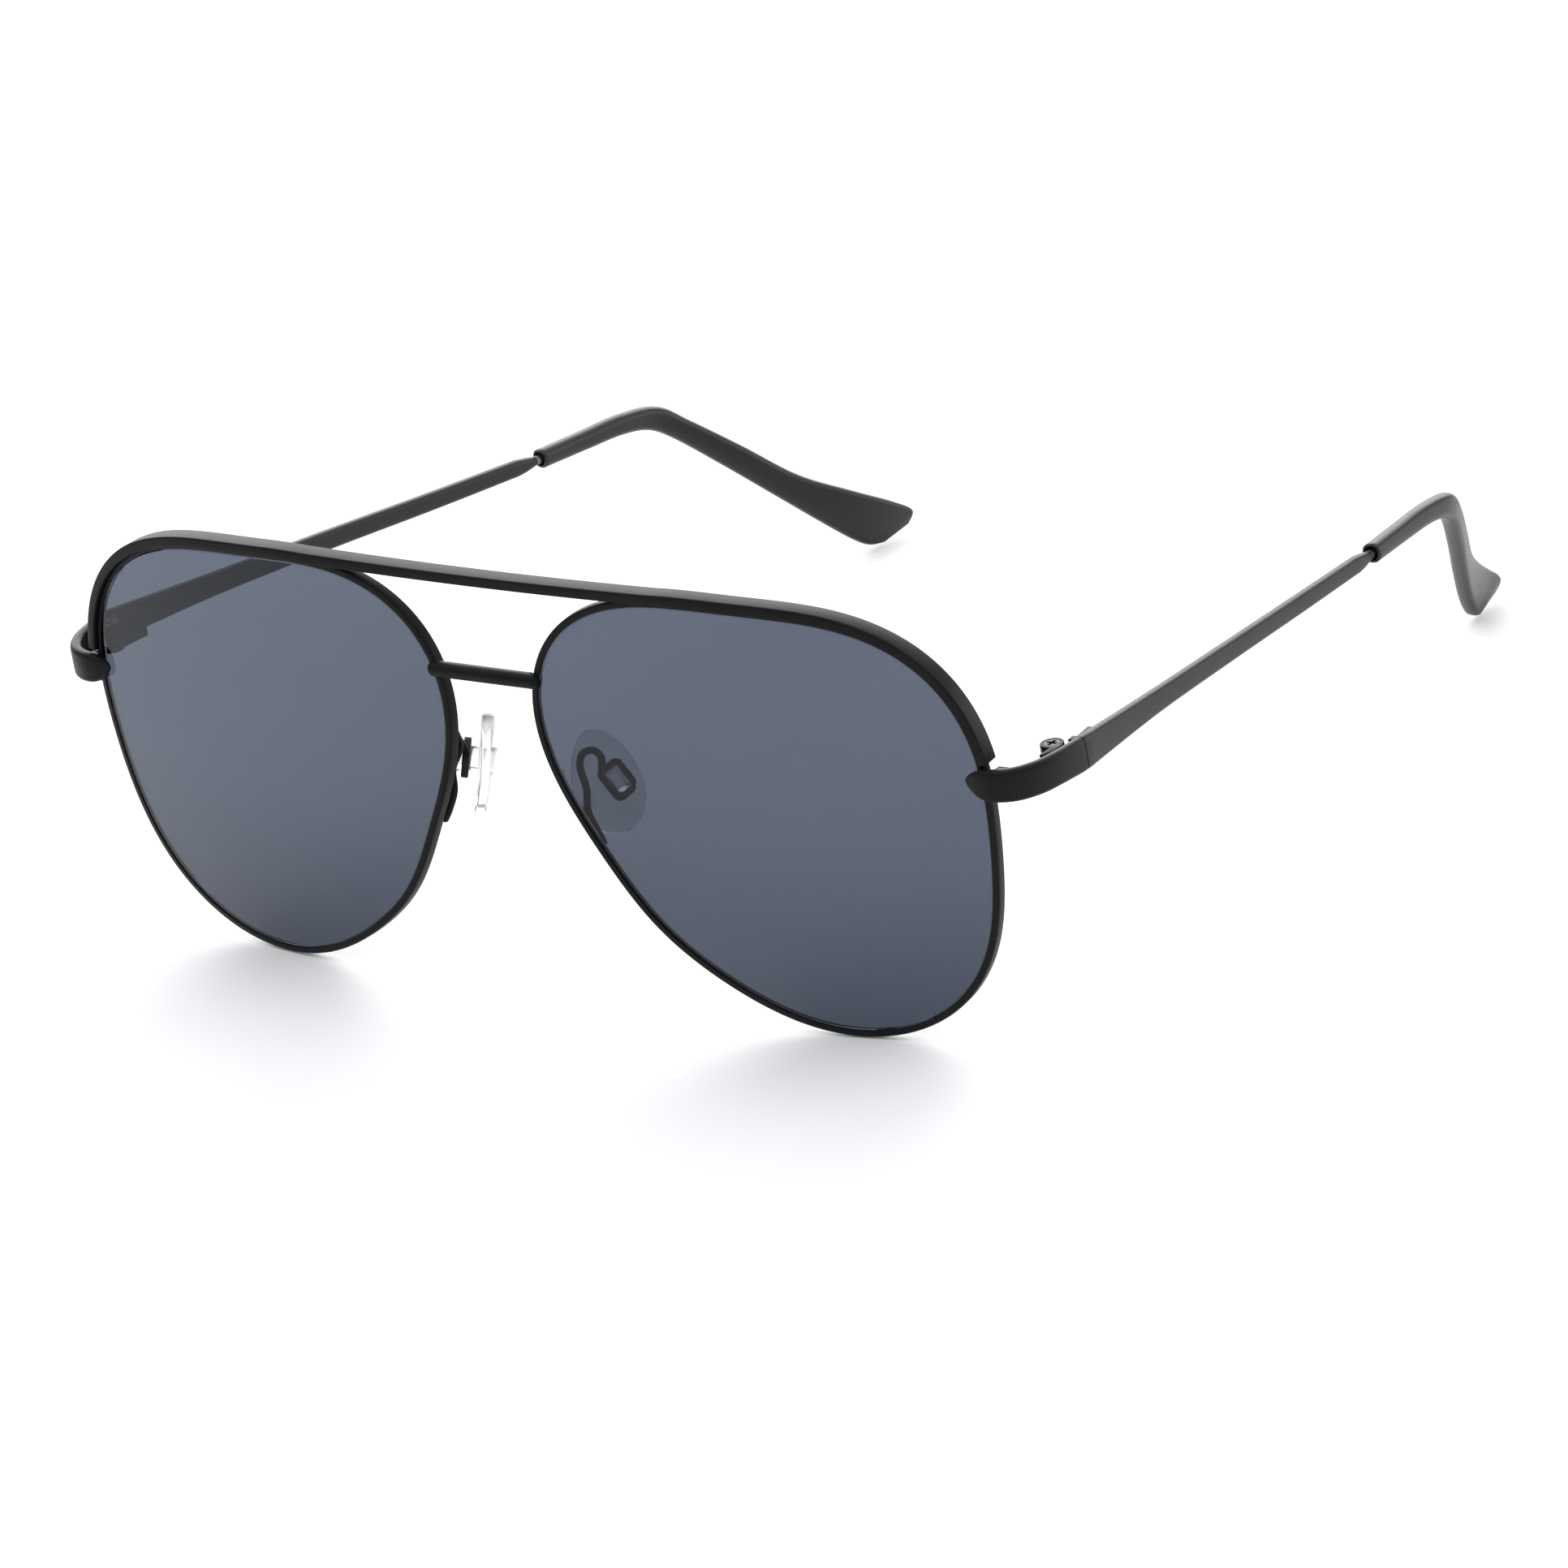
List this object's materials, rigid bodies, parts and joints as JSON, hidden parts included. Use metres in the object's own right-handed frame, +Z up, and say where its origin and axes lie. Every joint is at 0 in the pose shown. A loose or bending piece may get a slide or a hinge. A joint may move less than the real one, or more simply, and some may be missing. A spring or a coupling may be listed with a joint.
{
  "type": "aviator sunglasses",
  "caption": "Metal aviator sunglasses with a straight brow bar, a bridge bar, tinted teardrop lenses, clear rocking nose pads and folding temples with plastic tips.",
  "frame": {"origin": "centre of the footprint of the open sunglasses, on the table that the rim bottoms and the temple tips stand on", "axes": "+X to the wearer's left, +Y from the lenses back to the ears, +Z up"},
  "size_m": [0.1506, 0.141, 0.0564],
  "materials": {
    "satin_black": "satin black paint on metal wire and strip",
    "tinted_lens": "polished smoke tint, slightly lighter towards the top",
    "tip_plastic": "satin black moulded plastic",
    "clear_pad": "clear soft plastic, smooth",
    "screw_metal": "blackened screw steel",
    "wire_metal": "darkened core wire"
  },
  "bodies": {
    "front": {"brow_bar": "satin_black", "bridge_bar": "satin_black", "left_rim": "satin_black", "right_rim": "satin_black", "left_lens": "tinted_lens", "right_lens": "tinted_lens", "left_endpiece": "satin_black", "right_endpiece": "satin_black", "left_closing_block_upper": "satin_black", "right_closing_block_upper": "satin_black", "left_closing_block_lower": "satin_black", "right_closing_block_lower": "satin_black", "left_closing_screw": "screw_metal", "right_closing_screw": "screw_metal", "left_pad_arm": "satin_black", "right_pad_arm": "satin_black", "left_hinge_front_leaf": "satin_black", "right_hinge_front_leaf": "satin_black", "left_hinge_screw": "screw_metal", "right_hinge_screw": "screw_metal"},
    "left_arm": {"left_temple": "satin_black", "left_hinge_temple_leaf": "satin_black", "left_core_wire": "wire_metal", "left_temple_tip": "tip_plastic"},
    "left_pad": {"left_nose_pad": "clear_pad", "left_pad_clip": "clear_pad"},
    "right_arm": {"right_temple": "satin_black", "right_hinge_temple_leaf": "satin_black", "right_core_wire": "wire_metal", "right_temple_tip": "tip_plastic"},
    "right_pad": {"right_nose_pad": "clear_pad", "right_pad_clip": "clear_pad"}
  },
  "joints": [
    {"name": "left_temple_hinge", "type": "hinge", "parent": "front", "child": "left_arm", "pos_m": [0.072, -0.05533, 0.03512], "axis": [0, 0, 1], "range_deg": [0, 80]},
    {"name": "right_temple_hinge", "type": "hinge", "parent": "front", "child": "right_arm", "pos_m": [-0.072, -0.05533, 0.03512], "axis": [0, 0, -1], "range_deg": [0, 74]},
    {"name": "left_pad_rock", "type": "hinge", "parent": "front", "child": "left_pad", "pos_m": [0.01177, -0.06237, 0.02845], "axis": [0.4244, 0.8127, 0.3993], "range_deg": [-5, 5]},
    {"name": "right_pad_rock", "type": "hinge", "parent": "front", "child": "right_pad", "pos_m": [-0.01177, -0.06237, 0.02845], "axis": [-0.4244, 0.8127, 0.3993], "range_deg": [-5, 5]}
  ]
}
